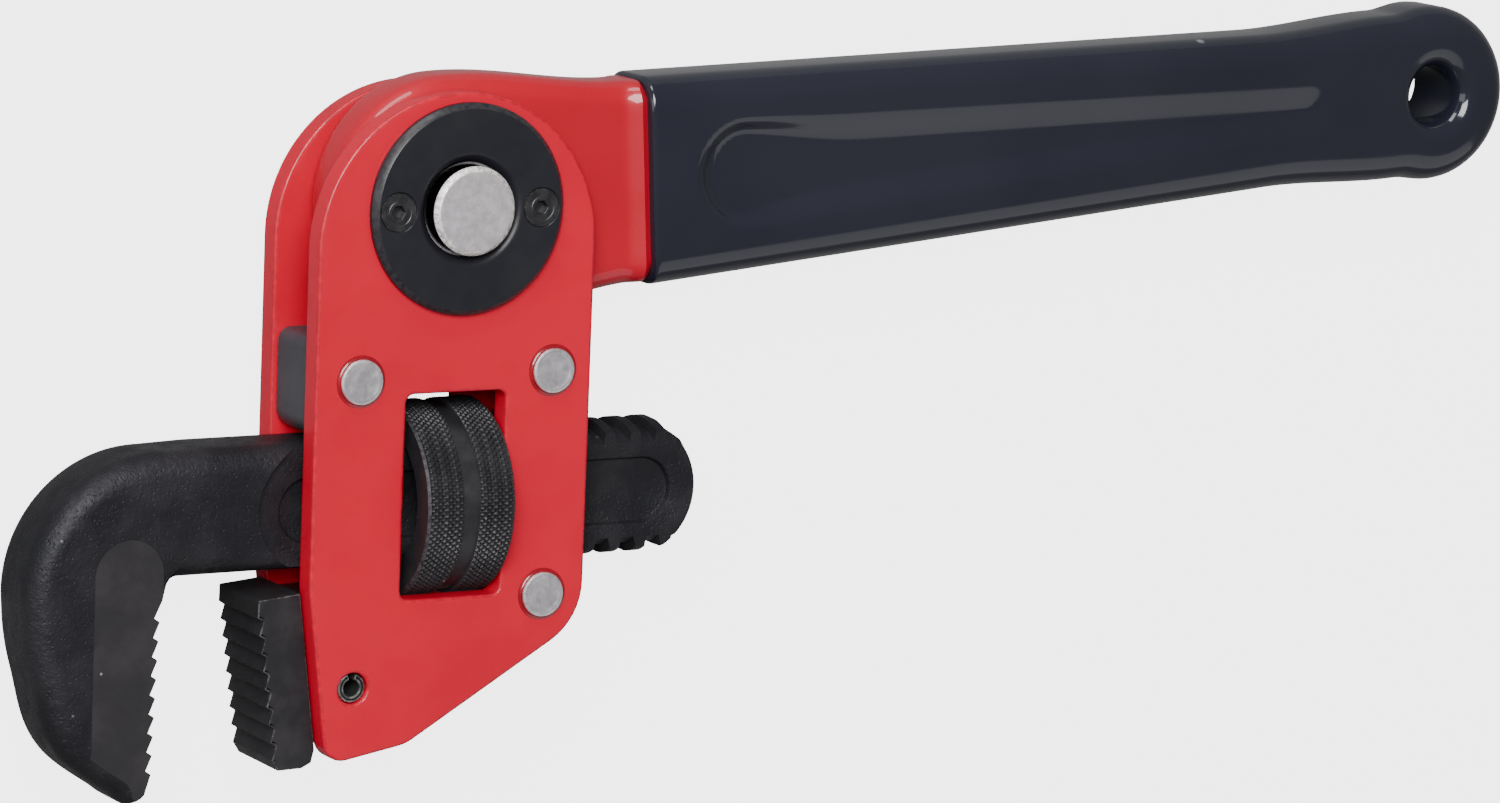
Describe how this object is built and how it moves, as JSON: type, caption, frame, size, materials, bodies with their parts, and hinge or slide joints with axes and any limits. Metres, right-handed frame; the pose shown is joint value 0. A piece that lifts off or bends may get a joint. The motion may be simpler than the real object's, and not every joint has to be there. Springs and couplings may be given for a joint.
{
  "type": "pipe wrench",
  "caption": "Pipe wrench with a swivelling handle, toothed heel and hook jaws, a knurled adjusting nut on a threaded shank, and a push-button pivot lock.",
  "frame": {"origin": "centre of the footprint, at the level of the nut's lowest point, with the wrench lying flat", "axes": "+X along the hook jaw's shank from the jaws towards the handle's end, +Y up the head towards the pivot, +Z out of the front plate towards the push button"},
  "size_m": [0.277, 0.1216, 0.0315],
  "materials": {
    "red_lacquer": "gloss",
    "red_forging": "gloss",
    "satin_black": "satin",
    "black_screw": "black oxide",
    "bright_rivet": "satin",
    "dark_block": "black oxide",
    "spring_steel": "satin",
    "dark_pin": "satin",
    "zinc_pin": "zinc plated",
    "jaw_steel": "phosphated",
    "hook_steel": "phosphated",
    "nut_steel": "black oxide",
    "vinyl": "dipped, glossy"
  },
  "bodies": {
    "head": {"front_plate": "red_lacquer", "back_plate": "red_lacquer", "front_cap": "satin_black", "back_cap": "satin_black", "front_cap_screw_left": "black_screw", "front_cap_screw_right": "black_screw", "back_cap_screw_left": "black_screw", "back_cap_screw_right": "black_screw", "rivet_upper_left": "bright_rivet", "rivet_upper_right": "bright_rivet", "rivet_lower_right": "bright_rivet", "upper_guide_block": "dark_block", "lower_guide_block": "dark_block", "upper_right_spacer": "dark_block", "jaw_spring": "spring_steel", "heel_jaw": "jaw_steel", "heel_spring_pin": "dark_pin"},
    "handle": {"handle_forging": "red_forging", "handle_grip": "vinyl", "lock_spring": "spring_steel"},
    "button": {"lock_pin": "zinc_pin"},
    "hook": {"hook_jaw": "hook_steel"},
    "nut": {"adjusting_nut": "nut_steel"}
  },
  "joints": [
    {"name": "handle_swing", "type": "hinge", "parent": "head", "child": "handle", "pos_m": [-0.06654, 0.03277, 0.01577], "axis": [0, 0, 1], "range_deg": [-15, 180]},
    {"name": "lock_press", "type": "slide", "parent": "handle", "child": "button", "axis": [0, 0, -1], "range_m": [0, 0.0036], "stiffness_N_per_m": 800, "springref_m": -0.002, "deforming": ["lock_spring"]},
    {"name": "hook_slide", "type": "slide", "parent": "head", "child": "hook", "axis": [1, 0, 0], "range_m": [-0.033, 0.0015]},
    {"name": "nut_turn", "type": "hinge", "parent": "head", "child": "nut", "pos_m": [-0.06624, -0.01523, 0.01577], "axis": [1, 0, 0], "range_deg": [-130, 2540]}
  ],
  "couplings": [
    {"joint": "nut_turn", "follows": "hook_slide", "rad_per_m": -1336.8}
  ]
}
